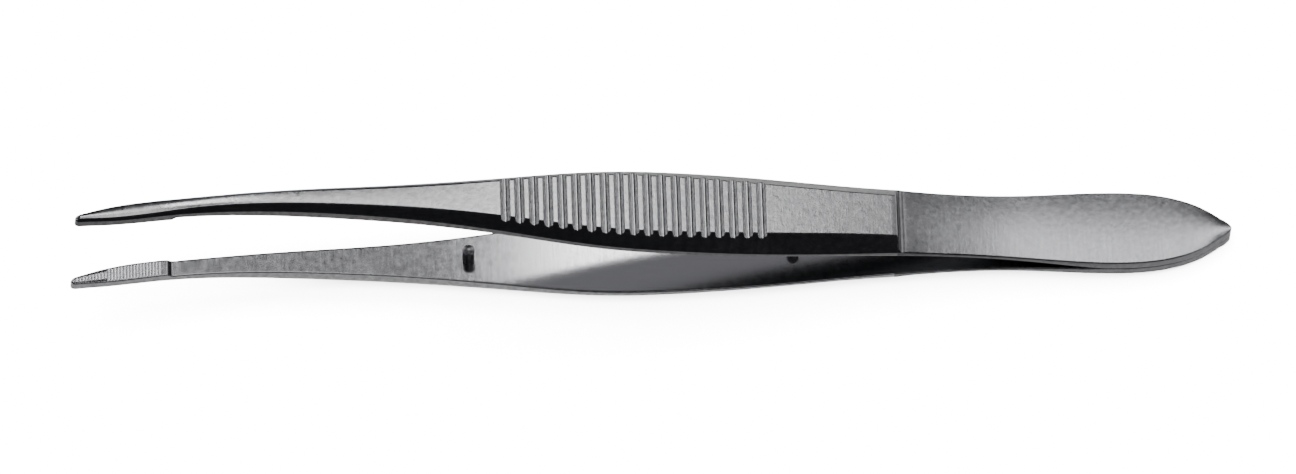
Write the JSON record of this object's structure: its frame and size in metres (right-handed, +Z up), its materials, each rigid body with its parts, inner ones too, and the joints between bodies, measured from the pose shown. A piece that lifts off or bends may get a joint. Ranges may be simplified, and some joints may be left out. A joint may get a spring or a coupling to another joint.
{
  "type": "thumb forceps",
  "caption": "Steel thumb forceps with slightly curved narrow jaws, a ribbed finger grip and a leaf-shaped joined butt, for picking up and holding tissue or dressings.",
  "frame": {"origin": "on the surface that the forceps lies on, under the middle of its bounding box", "axes": "+X along the tool from the jaw tips to the joined butt, +Y across the width of the arms, +Z up from the surface"},
  "size_m": [0.1152, 0.0088, 0.019],
  "materials": {
    "arm_steel": "satin stainless steel, ground across the width",
    "pin_steel": "turned stainless steel"
  },
  "bodies": {
    "root": {"upper_arm": "arm_steel", "lower_arm": "arm_steel", "front_stop_pin": "pin_steel", "rear_stop_pin": "pin_steel"}
  },
  "joints": []
}
